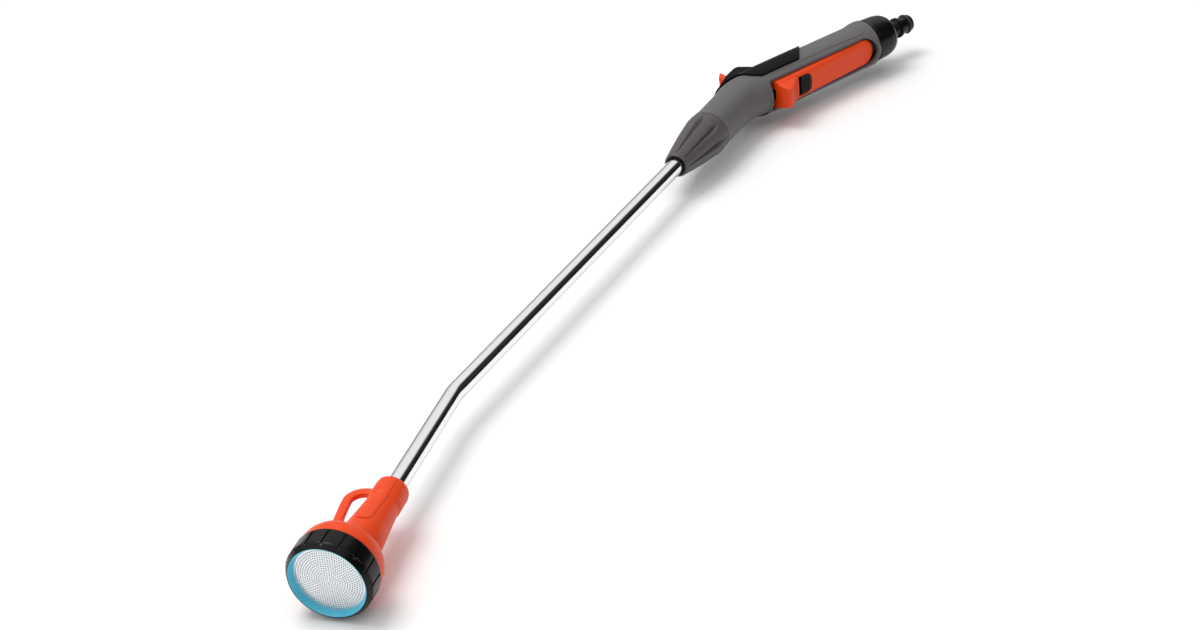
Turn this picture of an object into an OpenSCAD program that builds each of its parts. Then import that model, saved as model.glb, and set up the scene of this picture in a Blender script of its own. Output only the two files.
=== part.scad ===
// Watering wand: pistol-free straight grip with a long trigger, a thumb flow lever,
// a bent metal lance and a shower head with a hang loop.
// Frame: the wand lies on its side. X runs along the grip from the hose spigot's tip,
// Y points to the trigger side, Z is square to the wand's own plane of symmetry (Z = 0).

/* [Layout] */
// Length of hose spigot that stands out of the end cap
spigot_len = 27.5; // [22:0.5:30]
// Length of the end cap
cap_len = 27; // [24:1:32]
// Grip length from the end cap to the bend into the neck
grip_len = 143.5; // [140:0.5:190]
// Angle between the grip and the lance
grip_bend = 22.7; // [15:0.1:30]
// Neck length from the bend to the collar nut
neck_len = 60; // [58:1:75]
// Lance length from the collar nut's mouth to its bend
lance_straight = 334.6; // [250:0.1:500]
// Angle of the bend in the lance
lance_bend = 10.35; // [5:0.05:20]
// Radius of the bend at the lance's centre line
lance_bend_r = 45; // [35:1:80]
// Lance length from its bend to the shower head
lance_end = 105.8; // [80:0.1:140]

/* [Grip] */
// Outer radius of the grip
grip_r = 18.5; // [18:0.1:22]
// Wall of the grip shells
grip_wall = 2.5; // [2:0.1:3]
// Outer radius of the flared lip beside the end cap
flare_r = 19.8; // [19.2:0.1:24]
// Outer radius of the neck
neck_r = 17.2; // [16.8:0.1:20]
// Thickness of the soft pad over the grip's back
pad_skin = 1.8; // [1.2:0.1:2.5]
// Length of the soft pad on the grip, back from the bend
pad_len = 88; // [60:1:100]
// Height of the thumb hump's top over the grip axis
hump_height = 29.5; // [26:0.5:32]
// Half width of the thumb hump
hump_half = 12; // [11:0.5:14]

/* [Water connection] */
// Radius of the spigot's barrel
spigot_r = 7.2; // [6.8:0.1:8]
// Radius of the water passage in the spigot
inlet_r = 4.6; // [3.5:0.1:5]
// Radius of the spigot's claw ring and of the O-ring on it
claw_ring_r = 8.7; // [8.4:0.1:9]

/* [Trigger] */
// Distance from the bend back to the trigger's hinge pin
hinge_back = 134; // [125:1:150]
// Half width of the trigger
trigger_half = 11.5; // [10.5:0.1:12.5]
// Wall of the trigger
trigger_wall = 2.2; // [1.8:0.1:2.4]
// Length of the trigger in front of its hinge pin
trigger_len = 108.5; // [104:0.5:114]
// Height of the finger hook over the grip axis
hook_height = 30.5; // [28:0.5:34]
// Radius of the hinge pin
pin_r = 2; // [1.5:0.1:2.5]
// How far the trigger turns
trigger_turn = 4.5; // [3:0.1:4.5]

/* [Valve] */
// Distance from the bend back to the valve
valve_back = 102; // [98:1:108]
// Radius of the valve stem
stem_r = 2; // [1.5:0.1:2.5]
// Radius of the seat's opening
seat_r = 3.6; // [3:0.1:4]

/* [Flow lever] */
// Radius of the regulator plug
plug_r = 6; // [5:0.1:6.5]
// How far the lever leans back at rest
lever_lean = 18; // [10:1:20]
// How far the lever swings forward
lever_swing = 32; // [20:1:34]
// Height of the lever's tip from the plug's axis
lever_reach = 40; // [37:1:42]
// Half width of the lever's thumb tab
lever_half = 8; // [6:0.5:8.5]

/* [Lance] */
// Outer radius of the lance tube
tube_r = 6.5; // [6:0.1:7.5]
// Wall of the lance tube
tube_wall = 1; // [0.8:0.1:1.5]
// Length of the collar nut
collar_len = 60; // [54:1:75]
// Outer radius of the collar nut at its back
collar_r = 17.5; // [17:0.1:21]
// Outer radius of the collar nut at its mouth
collar_mouth_r = 9.6; // [9:0.1:11]
// Radius of the thread that the collar nut turns on
thread_r = 11.8; // [11:0.1:12.2]

/* [Shower head] */
// Length of the shower head
head_len = 94; // [92:1:130]
// Outer radius of the bezel ring
bezel_r = 27.1; // [26.8:0.1:34]
// Outer radius of the head's neck cuff
cuff_r = 10.9; // [10.2:0.1:13]
// Offset of the rose's axis from the lance, away from the trigger side
rose_offset = 4.2; // [0:0.1:6]
// Wall of the head's bell
bell_wall = 2; // [1.6:0.1:2.6]
// Number of rings of spray holes
hole_rings = 5; // [3:1:6]

/* [Fits] */
// Radial clearance of a part that turns or slides in another
run_gap = 0.06; // [0.02:0.01:0.1]
// Clearance between parts that move past each other
free_gap = 0.6; // [0.4:0.1:1]

/* [Hidden] */
$fn = 48;
eps = 0.01;
cap_x = spigot_len;
shell_x = spigot_len + cap_len;
bend_x = shell_x + grip_len;
hinge_x = bend_x - hinge_back;
hinge_y = 9.5;
valve_x = bend_x - valve_back;
cavity_r = grip_r - grip_wall;
neck_cavity_r = neck_r - grip_wall;
plug_x = bend_x - 2;
trigger_front = hinge_x + trigger_len;
trigger_back = hinge_x - 6;
face_back_y = 15.6;
face_front_y = 21;
hook_x = trigger_front - 24.5;
slot_x = trigger_front - 29.8;
slot_len = 15.4;
slot_half = 9;
lock_travel = 3.6;
mouth_s = neck_len + collar_len;
bend_s = mouth_s + lance_straight;
tube_start_s = neck_len - 16;
nose_len = 24;
head_plug_len = 26;
bell_back_s = head_len - 39;
seat_s = head_len - 9.3;
thread_turns = 6;

// ---- places ----
module on_neck(s = 0) translate([bend_x, 0, 0]) rotate([0, 0, grip_bend]) translate([s, 0, 0]) children();
module on_head(s = 0) on_neck(bend_s) rotate([0, 0, lance_bend]) translate([lance_end + s, 0, 0]) children();
module on_rose(s = 0) on_head(s) translate([0, -rose_offset, 0]) children();

// ---- shapes ----
// A turned piece along X; each point is [radius, station]
module lathe(points) rotate([0, 90, 0]) rotate_extrude() polygon(points);
// A straight round bar along X
module bar(x0, x1, r) translate([x0, 0, 0]) rotate([0, 90, 0]) cylinder(h = x1 - x0, r = r);
// A round bar along Y from y0 to y1
module post(y0, y1, r) translate([0, y0, 0]) rotate([-90, 0, 0]) cylinder(h = y1 - y0, r = r);
// A round bar along Z, centred on the symmetry plane
module cross_bar(half, r) translate([0, 0, -half]) cylinder(h = 2 * half, r = r);
// A washer along X
module washer(x0, x1, r_out, r_in) difference() { bar(x0, x1, r_out); bar(x0 - 1, x1 + 1, r_in); }
// A rubber ring of round section along X
module o_ring(s, r_in, r_out) translate([s, 0, 0]) rotate([0, 90, 0]) rotate_extrude()
    translate([(r_in + r_out) / 2, 0]) circle(r = (r_out - r_in) / 2, $fn = 24);
// A flat outline in the XY plane given thickness both ways from Z = 0
module slab(half, points) translate([0, 0, -half]) linear_extrude(2 * half) polygon(points);

// ---- grip shells ----
hump_rise = hump_height - pad_skin;
// Side outline of the thumb hump, raised by the pad when lift is its thickness
function hump_outline(lift) = [[bend_x - 37, 0], [bend_x - 36.5, -grip_r + 1.5 - lift],
    [bend_x - 26.5, -hump_rise - lift], [bend_x - 22.5, -hump_rise - lift],
    [bend_x - 8.5, -hump_rise + 6 - lift], [bend_x + 9.6 + lift, -neck_r + 6],
    [bend_x + 13, -neck_r + 10], [bend_x + 13, 0]];
boss_r = 3.3;
screw_core_r = 1.4;
screw_head_r = 2.2;
grip_screws = [hinge_x + 10, bend_x - 58];
neck_screw_s = 14;

module at_screws() {
    for (x = grip_screws) translate([x, boss_r - cavity_r, 0]) children();
    for (side = [-1, 1]) on_neck(neck_screw_s) translate([0, side * (neck_cavity_r - boss_r - 0.1), 0]) children();
}

module grip_outside() {
    lathe([[0, shell_x - 14], [flare_r - 3.7, shell_x - 14], [flare_r - 3.7, shell_x], [flare_r, shell_x],
        [flare_r, shell_x + 5], [grip_r, shell_x + 14], [grip_r, bend_x], [0, bend_x]]);
    translate([bend_x, 0, 0]) sphere(r = grip_r);
    on_neck() lathe([[0, 0], [neck_r, 0], [neck_r, neck_len - 3], [neck_r - 1, neck_len], [0, neck_len]]);
    slab(hump_half - pad_skin, hump_outline(0));
}

module grip_cavity() {
    bar(shell_x - 15, shell_x + 4, flare_r - 6.8);
    bar(shell_x + 4 - eps, bend_x, cavity_r);
    translate([bend_x, 0, 0]) sphere(r = cavity_r);
    on_neck() {
        bar(0, neck_len - 4, neck_cavity_r);
        bar(neck_len - 5, neck_len + 1, thread_r + run_gap);
    }
}

// The opening that the trigger works in
module trigger_pocket() {
    gap = free_gap + 0.4;
    x0 = trigger_back - gap;
    x1 = trigger_front + gap + 1;
    slab(trigger_half + gap, [[x0, 5], [x1, 5], [x1, 40], [x0, 40]]);
}

// The opening that the flow lever swings in
module lever_opening() {
    gap = 3.4 + free_gap;
    low = 8;
    high = lever_reach + 6;
    front = lever_swing - lever_lean;
    slab(lever_half + free_gap + 0.4, [[plug_x - gap - low * tan(lever_lean), -low],
        [plug_x + gap + low * tan(front), -low], [plug_x + gap + high * tan(front), -high],
        [plug_x - gap - high * tan(lever_lean), -high]]);
}

module shell_solid() {
    difference() {
        grip_outside();
        grip_cavity();
        trigger_pocket();
        lever_opening();
    }
    intersection() {
        grip_outside();
        at_screws() cross_bar(grip_r, boss_r);
    }
}

module grip_shell_left() color([0.43, 0.42, 0.42]) difference() {
    intersection() {
        shell_solid();
        translate([0, -300, 0]) cube([600, 600, 60]);
    }
    at_screws() translate([0, 0, -1]) cylinder(h = 9, r = screw_core_r + 0.05);
    translate([hinge_x, hinge_y, 0]) cross_bar(cavity_r - 1.2, pin_r);
}

module grip_shell_right() color([0.43, 0.42, 0.42]) difference() {
    intersection() {
        shell_solid();
        translate([0, -300, -60]) cube([600, 600, 60]);
    }
    at_screws() {
        translate([0, 0, -20]) cylinder(h = 21, r = screw_core_r + 0.3);
        translate([0, 0, -30]) cylinder(h = 21, r = screw_head_r + 0.15);
    }
    translate([hinge_x, hinge_y, 0]) cross_bar(cavity_r - 1.2, pin_r);
}

module shell_screws() color([0.75, 0.75, 0.77]) at_screws() {
    translate([0, 0, -10]) cylinder(h = 16, r = screw_core_r);
    translate([0, 0, -11]) cylinder(h = 1.95, r = screw_head_r);
}

module thumb_pad() color([0.07, 0.07, 0.07]) difference() {
    intersection() {
        union() {
            bar(bend_x - pad_len, bend_x, grip_r + pad_skin);
            translate([bend_x, 0, 0]) sphere(r = grip_r + pad_skin);
            slab(hump_half, hump_outline(pad_skin));
        }
        slab(40, [[bend_x - pad_len, -60], [bend_x - pad_len, -19.5], [bend_x - pad_len + 27.5, 8],
            [bend_x - 19, 8], [bend_x - 12, 2], [bend_x - 7, -12], [bend_x + 14, -12], [bend_x + 14, -60]]);
    }
    bar(bend_x - pad_len - 1, bend_x, grip_r);
    grip_outside();
    lever_opening();
}

// ---- water connection ----
module end_cap() color([0.08, 0.08, 0.08]) difference() {
    wall_x = cap_x + 4.4;
    lathe([[0, cap_x + 0.6], [flare_r - 7, cap_x + 0.6], [flare_r - 3.8, cap_x + 2.4],
        [flare_r - 2.2, cap_x + 5.4], [flare_r - 1.6, cap_x + 10], [flare_r - 1, shell_x - 0.2], [0, shell_x - 0.2]]);
    bar(wall_x, shell_x, flare_r - 3.7);
    bar(cap_x - 1, wall_x + 1, spigot_r);
}

spigot_flange_x = cap_x + 4.5;
tail_end = shell_x - 10.5;
module hose_spigot() color([0.09, 0.09, 0.09]) difference() {
    lathe([[0, 0], [spigot_r, 0], [spigot_r, 3.2], [spigot_r - 1.2, 3.2], [spigot_r - 1.2, 5.8],
        [spigot_r, 5.8], [spigot_r, 13], [claw_ring_r, 13.6], [claw_ring_r, 15.6], [spigot_r - 0.6, 16.6],
        [spigot_r - 0.6, spigot_flange_x], [flare_r - 4.4, spigot_flange_x], [flare_r - 4.4, spigot_flange_x + 3],
        [8, spigot_flange_x + 3], [8, tail_end], [0, tail_end]]);
    bar(-1, tail_end + 1, inlet_r);
}

module spigot_o_ring() color([0.05, 0.05, 0.05]) o_ring(4.5, spigot_r - 1.2, spigot_r + 1.2);

module inlet_gasket() color([0.1, 0.1, 0.1])
    washer(spigot_flange_x + 3, shell_x - 14, flare_r - 4.6, 8 + run_gap);

filter_x = tail_end + 0.3;
module inlet_filter() color([0.8, 0.8, 0.78]) difference() {
    lathe([[0, filter_x], [7.8, filter_x], [7.8, filter_x + 1.6], [5.6, filter_x + 1.6], [3, filter_x + 10], [0, filter_x + 10]]);
    lathe([[0, filter_x - 1], [4.8, filter_x - 1], [4.8, filter_x + 1.6], [2.2, filter_x + 9], [0, filter_x + 9]]);
}

// ---- valve ----
inlet_y = -4.8;
outlet_y = 2.6;
pipe_r = 4;
channel_r = 2.6;
chamber_r = 8.5;
chamber_bottom = -12.2;
chamber_top = 9.5;
seat_low = -1.5;
seat_high = 0.4;
socket_end = hinge_x - 6.6;
outlet_end = plug_x - 14;

module valve_body() color([0.35, 0.35, 0.36]) difference() {
    union() {
        bar(shell_x - 14, socket_end, 12.4);
        translate([0, inlet_y, 0]) bar(socket_end - 2, valve_x, 4.4);
        translate([valve_x, 0, 0]) post(chamber_bottom, chamber_top, chamber_r);
        translate([0, outlet_y, 0]) bar(valve_x, outlet_end, pipe_r);
    }
    bar(shell_x - 15, socket_end - 2, 8 + run_gap);
    translate([0, inlet_y, 0]) bar(socket_end - 3, valve_x - 4, channel_r);
    translate([0, outlet_y, 0]) bar(valve_x + 3, outlet_end + 1, channel_r);
    translate([valve_x, 0, 0]) {
        post(chamber_bottom - 1, seat_low, chamber_r - 2);
        post(seat_low - 1, seat_high + 1, seat_r);
        post(seat_high, chamber_top + 1, chamber_r - 3);
    }
}

module valve_gland() color([0.85, 0.84, 0.8]) translate([valve_x, 0, 0]) difference() {
    union() {
        post(chamber_top - 1.2, chamber_top + eps, chamber_r - 3.05);
        post(chamber_top, chamber_top + 1.6, chamber_r - 1.5);
    }
    post(chamber_top - 2, chamber_top + 3, stem_r + run_gap);
}

module stem_seal() color([0.05, 0.05, 0.05]) translate([valve_x, 0, 0]) difference() {
    post(chamber_top - 2.6, chamber_top - 1.2, chamber_r - 3.05);
    post(chamber_top - 4, chamber_top, stem_r + run_gap);
}

module valve_plug() color([0.35, 0.35, 0.36]) translate([valve_x, 0, 0]) {
    post(chamber_bottom - eps, chamber_bottom + 2, chamber_r - 2.05);
    post(chamber_bottom - 1.7, chamber_bottom, chamber_r - 1);
}

stem_rest_gap = 0.15;
// Height that the trigger's front wall keeps over the outlet pipe, squeezed
notch_y = outlet_y + pipe_r + free_gap + trigger_len * sin(trigger_turn);
nose_r = 1.5;
// Height of the trigger's inner face where it meets the stem
function face_y(x) = face_back_y + (face_front_y - face_back_y) * (x - trigger_back) / (trigger_front - trigger_back);
stem_top = face_y(valve_x) - trigger_wall - 1.2;
module valve_stem() color([0.8, 0.8, 0.82]) translate([valve_x, 0, 0]) {
    post(seat_low - 3.2, stem_top - stem_rest_gap, stem_r);
    post(seat_low - 3.2, seat_low - 1.8, chamber_r - 3.5);
}

module valve_washer() color([0.06, 0.06, 0.06]) translate([valve_x, 0, 0]) difference() {
    post(seat_low - 1.8, seat_low - 0.02, chamber_r - 3.7);
    post(seat_low - 4, seat_low + 1, stem_r);
}

// A coil of round wire along Y: rings of points joined side by side
module coil(y0, y1, r, wire, turns) {
    sides = 8;
    per_turn = 20;
    steps = turns * per_turn;
    points = [for (i = [0:steps]) let (a = 360 * i / per_turn, y = y0 + wire + (y1 - y0 - 2 * wire) * i / steps)
        for (k = [0:sides - 1]) let (b = 360 * k / sides, q = r + wire * cos(b))
            [q * cos(a), y + wire * sin(b), q * sin(a)]];
    walls = [for (i = [0:steps - 1]) for (k = [0:sides - 1]) let (n = (k + 1) % sides)
        [i * sides + k, i * sides + n, (i + 1) * sides + n, (i + 1) * sides + k]];
    start = [for (k = [sides - 1:-1:0]) k];
    end = [for (k = [0:sides - 1]) steps * sides + k];
    polyhedron(points, concat([start], walls, [end]));
}

module valve_spring() color([0.7, 0.7, 0.72]) translate([valve_x, 0, 0])
    coil(chamber_bottom + 2.05, seat_low - 3.25, 4, 0.4, 3);

// ---- trigger ----
module trigger_pin() color([0.75, 0.75, 0.77]) translate([hinge_x, hinge_y, 0]) cross_bar(cavity_r - 1.3, pin_r);

// Side outline of the trigger, in from its outer face and open below by down
function trigger_outline(in, down = 0) = [[trigger_back + in, 6.5 - down], [trigger_back + in, face_y(trigger_back) - in],
    [hook_x + 3.5, face_y(hook_x + 3.5) - in], [hook_x + 20.2, hook_height - in],
    [hook_x + 22.4, hook_height - 0.8 - in], [trigger_front - in, hook_height - 6.5 - in],
    [trigger_front - in, 8 - down], [hook_x, 8 - down]];

// Plan outline of the trigger: round at its hinge end
module trigger_plan(in) translate([0, -5, 0]) rotate([-90, 0, 0]) linear_extrude(50) {
    half = trigger_half - in;
    translate([trigger_back + trigger_half, 0]) circle(r = half);
    translate([trigger_back + trigger_half, -half]) square([trigger_len, 2 * half]);
}

module trigger() color([0.93, 0.33, 0.15]) {
    difference() {
        union() {
            difference() {
                intersection() {
                    slab(trigger_half, trigger_outline(0));
                    trigger_plan(0);
                }
                intersection() {
                    slab(trigger_half, trigger_outline(trigger_wall, 8));
                    trigger_plan(trigger_wall);
                }
                translate([slot_x - slot_len / 2, 10, -slot_half]) cube([slot_len, 30, 2 * slot_half]);
                translate([trigger_front - trigger_wall - 1, 0, -pipe_r - free_gap])
                    cube([trigger_wall + 2, notch_y, 2 * (pipe_r + free_gap)]);
            }
            slab(trigger_half - 2, [[trigger_back + 1, hinge_y], [hinge_x, hinge_y], [hinge_x, face_back_y - 1],
                [trigger_back + 1, face_back_y - 1]]);
            translate([hinge_x, hinge_y, 0]) cross_bar(trigger_half - 1, pin_r + 2.2);
        }
        translate([hinge_x, hinge_y, 0]) cross_bar(trigger_half + 1, pin_r + run_gap);
    }
    translate([valve_x, stem_top + nose_r, 0]) {
        cross_bar(3.2, nose_r);
        translate([-nose_r, 0, -3.2]) cube([2 * nose_r, trigger_wall - 0.2, 6.4]);
    }
    for (side = [-1, 1]) translate([slot_x - 14, face_y(slot_x) - 6.6, side * (trigger_half - trigger_wall - 0.7) - 0.75])
        cube([30, 1.4, 1.5]);
}

module trigger_lock() color([0.06, 0.06, 0.06]) {
    plate_back = slot_x - 12;
    plate_front = slot_x + 11;
    plate_top = face_y(plate_back) - trigger_wall - 0.4;
    button_back = slot_x - slot_len / 2 + 0.35;
    button_front = slot_x + slot_len / 2 - 0.35 - lock_travel;
    slab(trigger_half - trigger_wall - 0.25, [[plate_back, plate_top - 1.6], [plate_front, plate_top - 1.6],
        [plate_front, plate_top], [plate_back, plate_top]]);
    slab(slot_half - 0.3, [[button_back, plate_top - 0.2], [button_front, plate_top - 0.2],
        [button_front, face_y(button_front) - 0.5], [button_back, face_y(button_back) - 0.5]]);
}

// ---- flow regulator ----
housing_r = 8.5;
housing_half = lever_half - 2;
arm_wall = 1.7;
module regulator_body() color([0.35, 0.35, 0.36]) difference() {
    union() {
        translate([plug_x, 0, 0]) cross_bar(housing_half, housing_r);
        translate([0, outlet_y, 0]) bar(outlet_end - 6, plug_x, housing_half - 0.1);
        on_neck() bar(0, 30, housing_half - 0.1);
        on_neck() bar(9, 30, 7.9);
    }
    translate([plug_x, 0, 0]) cross_bar(housing_half + 1, plug_r + run_gap);
    translate([0, outlet_y, 0]) bar(outlet_end - 7, outlet_end, pipe_r + 0.02);
    translate([0, outlet_y, 0]) bar(outlet_end - 1, plug_x, channel_r);
    on_neck() bar(0, 31, 4.6);
}

module regulator_plug() color([0.85, 0.84, 0.8]) translate([plug_x, 0, 0]) difference() {
    union() {
        cross_bar(housing_half, plug_r);
        cross_bar(lever_half, 3);
    }
    for (side = [-1, 1]) translate([0, 0, side * (housing_half - 1.4)]) difference() {
        cross_bar(0.8, plug_r + 1);
        cross_bar(1.8, plug_r - 1.1);
    }
    translate([0, 1.2, 0]) rotate([0, 0, grip_bend / 2]) bar(-20, 20, channel_r);
}

module plug_o_rings() color([0.05, 0.05, 0.05]) translate([plug_x, 0, 0])
    for (side = [-1, 1]) translate([0, 0, side * (housing_half - 1.4)]) difference() {
        cross_bar(0.75, plug_r + run_gap / 2);
        cross_bar(1.8, plug_r - 1.1);
    }

module flow_lever() color([0.93, 0.33, 0.15]) translate([plug_x, 0, 0]) rotate([0, 0, -lever_lean]) {
    fork_half = lever_half - arm_wall;
    difference() {
        union() {
            cross_bar(lever_half, 5);
            slab(lever_half, [[-3, 0], [-2.6, -24], [2.6, -24], [3, 0]]);
        }
        cross_bar(fork_half, housing_r + free_gap);
        slab(fork_half, [[-10, 10], [-10, -12], [10, -12], [10, 10]]);
        cross_bar(lever_half + 1, 3.02);
    }
    slab(lever_half, [[-2.2, -19], [-1.6, -lever_reach + 2], [0, -lever_reach], [1.6, -lever_reach + 2], [2.2, -19]]);
}

// ---- lance clamp ----
socket_bore = tube_r + run_gap;
module lance_socket() color([0.3, 0.3, 0.31]) on_neck() difference() {
    union() {
        lathe([[0, 18], [9.8, 18], [9.8, neck_len - 14], [tube_r + 3.9, neck_len - 12],
            [tube_r + 3.9, neck_len - 9], [neck_cavity_r - 0.3, neck_len - 9],
            [neck_cavity_r - 0.3, neck_len - 5.1], [thread_r - 1, neck_len - 5.1], [thread_r - 1, neck_len + 2], [0, neck_len + 2]]);
        lathe([[0, neck_len], [thread_r - 1, neck_len],
            for (i = [0:thread_turns]) each [[thread_r, neck_len + 2.2 + 3 * i], [thread_r, neck_len + 3.4 + 3 * i],
                [thread_r - 1, neck_len + 3.9 + 3 * i], [thread_r - 1, neck_len + 4.7 + 3 * i]],
            [thread_r - 1, neck_len + nose_len], [0, neck_len + nose_len]]);
    }
    bar(17, 31, 7.9 + 0.02);
    bar(17, neck_len, 4.6);
    bar(tube_start_s - 0.5, neck_len + nose_len + 1, socket_bore);
    for (s = [neck_len - 4, neck_len + 6]) washer(s - 1.4, s + 1.4, tube_r + 1.9, tube_r - 1);
}

module socket_o_rings() color([0.05, 0.05, 0.05]) on_neck()
    for (s = [neck_len - 4, neck_len + 6]) o_ring(s, tube_r + run_gap, tube_r + 1.85);

module clamp_collet() color([0.85, 0.84, 0.8]) on_neck() difference() {
    s0 = neck_len + nose_len + 0.1;
    lathe([[0, s0], [9.6, s0], [9.6, s0 + 6], [8.4, s0 + 11], [0, s0 + 11]]);
    bar(s0 - 1, s0 + 12, tube_r + run_gap);
    translate([s0 - 1, 0, -0.75]) cube([20, 20, 1.5]);
}

module collar_nut() color([0.33, 0.32, 0.32]) on_neck() difference() {
    s0 = neck_len + 0.4;
    s1 = mouth_s;
    lathe([[0, s0], [collar_r - 1.2, s0], [collar_r, s0 + 1.6], [collar_r, s0 + 8], [collar_mouth_r + 0.4, s1 - 0.6],
        [collar_mouth_r, s1], [0, s1]]);
    bar(s0 - 1, neck_len + nose_len + 1, thread_r + run_gap);
    bar(neck_len + nose_len, neck_len + nose_len + 13, 9.8);
    bar(neck_len + nose_len, s1 + 1, tube_r + 1.7);
    for (i = [0:7]) rotate([45 * i + 22.5, 0, 0]) translate([s0 + 10, 0, collar_r + 1.4]) rotate([0, 9.6, 0])
        bar(0, s1 - s0 - 14, 2.6);
}

module collar_bush() color([0.05, 0.05, 0.05]) on_neck()
    washer(mouth_s - 14, mouth_s - 0.6, tube_r + 1.7, tube_r + run_gap);

// ---- lance ----
bend_leg = lance_bend_r * tan(lance_bend / 2);
joint_lap = 0.5;
bend_thin = 0.02;
// The tube's path as a solid: straight of radius r, bend of radius bend_r, straight
module tube_path(r, bend_r, over) {
    on_neck() bar(tube_start_s - over, bend_s - bend_leg + joint_lap, r);
    on_neck(bend_s - bend_leg) translate([0, lance_bend_r, 0]) rotate([0, 0, -90])
        rotate_extrude(angle = lance_bend) translate([lance_bend_r, 0]) circle(r = bend_r);
    on_head() bar(-lance_end + bend_leg - joint_lap, head_plug_len + over, r);
}

module lance_tube() color([0.86, 0.87, 0.88]) difference() {
    tube_path(tube_r, tube_r - bend_thin, 0);
    tube_path(tube_r - tube_wall, tube_r - tube_wall + bend_thin, 1);
}

module tube_ferrule() color([0.7, 0.7, 0.72]) on_neck()
    washer(mouth_s - 24, mouth_s - 21, tube_r + 1.4, tube_r);

// ---- shower head ----
loop_half = 1.9;
loop_wide = 5.8;
loop_top_s = 7;
loop_end_s = head_len - 40;
loop_out = rose_offset + 19.4;

// Side outline of the loop's strap, or of the space inside it
module loop_outline(shrink) {
    r = 9 - shrink;
    x0 = loop_top_s - loop_wide / 2 + shrink;
    y0 = loop_out + loop_wide / 2 - shrink;
    translate([x0 + r, -y0 + r]) circle(r = r);
    translate([x0, -y0 + r]) square([2 * r, y0 - r]);
    polygon([[x0 + r, -y0], [loop_end_s + 6, -y0 + 5.5], [loop_end_s + 6, 0], [x0 + r, 0]]);
}

module head_outside() {
    lathe([[0, 0], [cuff_r - 2.2, 0], [cuff_r - 0.6, 1.4], [cuff_r, 4], [cuff_r, 17], [cuff_r - 0.7, 18.4],
        [cuff_r + 3.6, bell_back_s + 4], [cuff_r + 4.6, bell_back_s + 10], [0, bell_back_s + 10]]);
    translate([0, -rose_offset, 0]) lathe([[0, bell_back_s], [bezel_r - 15, bell_back_s], [bezel_r - 10.1, bell_back_s + 4],
        [bezel_r - 4.6, bell_back_s + 9.5], [bezel_r - 1.6, bell_back_s + 15.5], [bezel_r - 0.7, bell_back_s + 21],
        [bezel_r - 0.7, seat_s - 7.3], [bezel_r - 1.9, seat_s - 7.3], [bezel_r - 1.9, seat_s - 1.4], [0, seat_s - 1.4]]);
}

module head_body() color([0.93, 0.33, 0.15]) on_head() difference() {
    union() {
        head_outside();
        translate([0, 0, -loop_half]) linear_extrude(2 * loop_half) difference() {
            loop_outline(0);
            loop_outline(loop_wide);
        }
    }
    bar(-1, head_plug_len, tube_r);
    bar(head_plug_len - 1, bell_back_s + 12, tube_r - tube_wall - 0.5);
    washer(9, 11.4, tube_r + 1.8, tube_r - 1);
    translate([0, -rose_offset, 0]) lathe([[0, bell_back_s + 8], [bezel_r - 15, bell_back_s + 8],
        [bezel_r - 4.6 - bell_wall, bell_back_s + 13.5], [bezel_r - 1.6 - bell_wall - 1.6, bell_back_s + 18],
        [bezel_r - 4.6, seat_s], [0, seat_s]]);
}

module head_o_ring() color([0.05, 0.05, 0.05]) on_head() o_ring(10.2, tube_r, tube_r + 1.75);

module spray_diffuser() color([0.85, 0.84, 0.8]) on_rose() difference() {
    s0 = seat_s - 8;
    union() {
        bar(s0, s0 + 1.6, bezel_r - 5.1);
        lathe([[0, s0 - 3], [6, s0 - 3], [8, s0 + 0.5], [0, s0 + 0.5]]);
    }
    for (i = [0:11]) rotate([30 * i, 0, 0]) translate([0, 0, bezel_r - 11]) bar(s0 - 1, s0 + 3, 1.8);
}

module rose_gasket() color([0.06, 0.06, 0.06]) on_rose()
    washer(seat_s - 1.4, seat_s, bezel_r - 2, bezel_r - 4.6);

plate_t = 0.8;
dome_r = bezel_r - 5.1;
module rose_plate() color([0.88, 0.89, 0.9]) on_rose() difference() {
    rim_s = seat_s + plate_t;
    edge_s = head_len - 4.1;
    lathe([[0, seat_s], [bezel_r - 2, seat_s], [bezel_r - 2, rim_s], [dome_r, rim_s], [dome_r, edge_s],
        [dome_r * 0.7, edge_s + 0.9], [dome_r * 0.35, edge_s + 1.4], [0, edge_s + 1.6]]);
    lathe([[0, seat_s - 1], [dome_r - plate_t, seat_s - 1], [dome_r - plate_t, edge_s - plate_t],
        [dome_r * 0.7, edge_s + 0.9 - plate_t], [dome_r * 0.35, edge_s + 1.4 - plate_t], [0, edge_s + 1.6 - plate_t]]);
    bar(seat_s - 1, head_len, 0.6);
    for (ring = [1:hole_rings]) for (i = [0:6 * ring - 1])
        rotate([360 * i / (6 * ring), 0, 0]) translate([0, 0, ring * (dome_r - 3) / hole_rings])
            bar(seat_s + 1, head_len, 0.6);
}

module rose_rim() color([0.3, 0.71, 0.8]) on_rose() difference() {
    rim_s = seat_s + plate_t;
    lathe([[0, rim_s], [bezel_r - 2, rim_s], [bezel_r - 2, rim_s + 2.4], [bezel_r - 2.7, rim_s + 2.4],
        [bezel_r - 2.7, head_len], [0, head_len]]);
    lathe([[0, rim_s - 1], [dome_r + 0.02, rim_s - 1], [dome_r + 0.02, head_len - 4],
        [bezel_r - 3.2, head_len], [bezel_r - 3.2, head_len + 1], [0, head_len + 1]]);
}

module bezel_ring() color([0.06, 0.06, 0.06]) on_rose() difference() {
    lip_s = seat_s + plate_t + 2.5;
    lathe([[0, seat_s - 7], [bezel_r - 0.4, seat_s - 7], [bezel_r, seat_s - 6.4], [bezel_r, head_len - 3.7],
        [bezel_r - 2.3, head_len], [0, head_len]]);
    bar(seat_s - 8, lip_s, bezel_r - 1.9 + run_gap);
    bar(seat_s, head_len + 1, bezel_r - 2.7 + run_gap);
    for (i = [0:15]) rotate([22.5 * i, 0, 0]) translate([seat_s - 5.5, -0.8, bezel_r - 0.7])
        cube([9, 1.6, 4]);
}

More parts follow.
